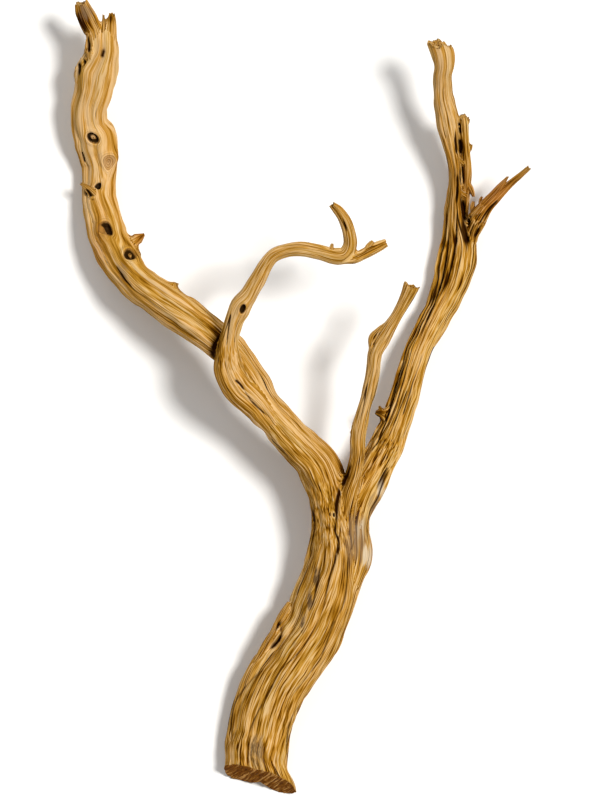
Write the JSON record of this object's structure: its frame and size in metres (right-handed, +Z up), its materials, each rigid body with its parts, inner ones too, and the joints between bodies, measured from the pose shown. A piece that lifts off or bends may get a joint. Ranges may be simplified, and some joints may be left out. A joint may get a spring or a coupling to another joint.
{
  "type": "branching driftwood",
  "caption": "Weathered branching driftwood: a curved trunk forks into limbs with a curled twig, splintered ends and knot holes; it lies flat on a surface.",
  "frame": {"origin": "bottom centre of the piece's bounding box, on the surface that it lies on", "axes": "+Y from the sawn foot towards the limb tips, +Z up out of the weathered show side, +X towards the right limb"},
  "size_m": [0.3452, 0.5982, 0.1283],
  "materials": {
    "bare_weathered_wood": "bare, weathered, satin"
  },
  "bodies": {
    "root": {"driftwood": "bare_weathered_wood"}
  },
  "joints": []
}
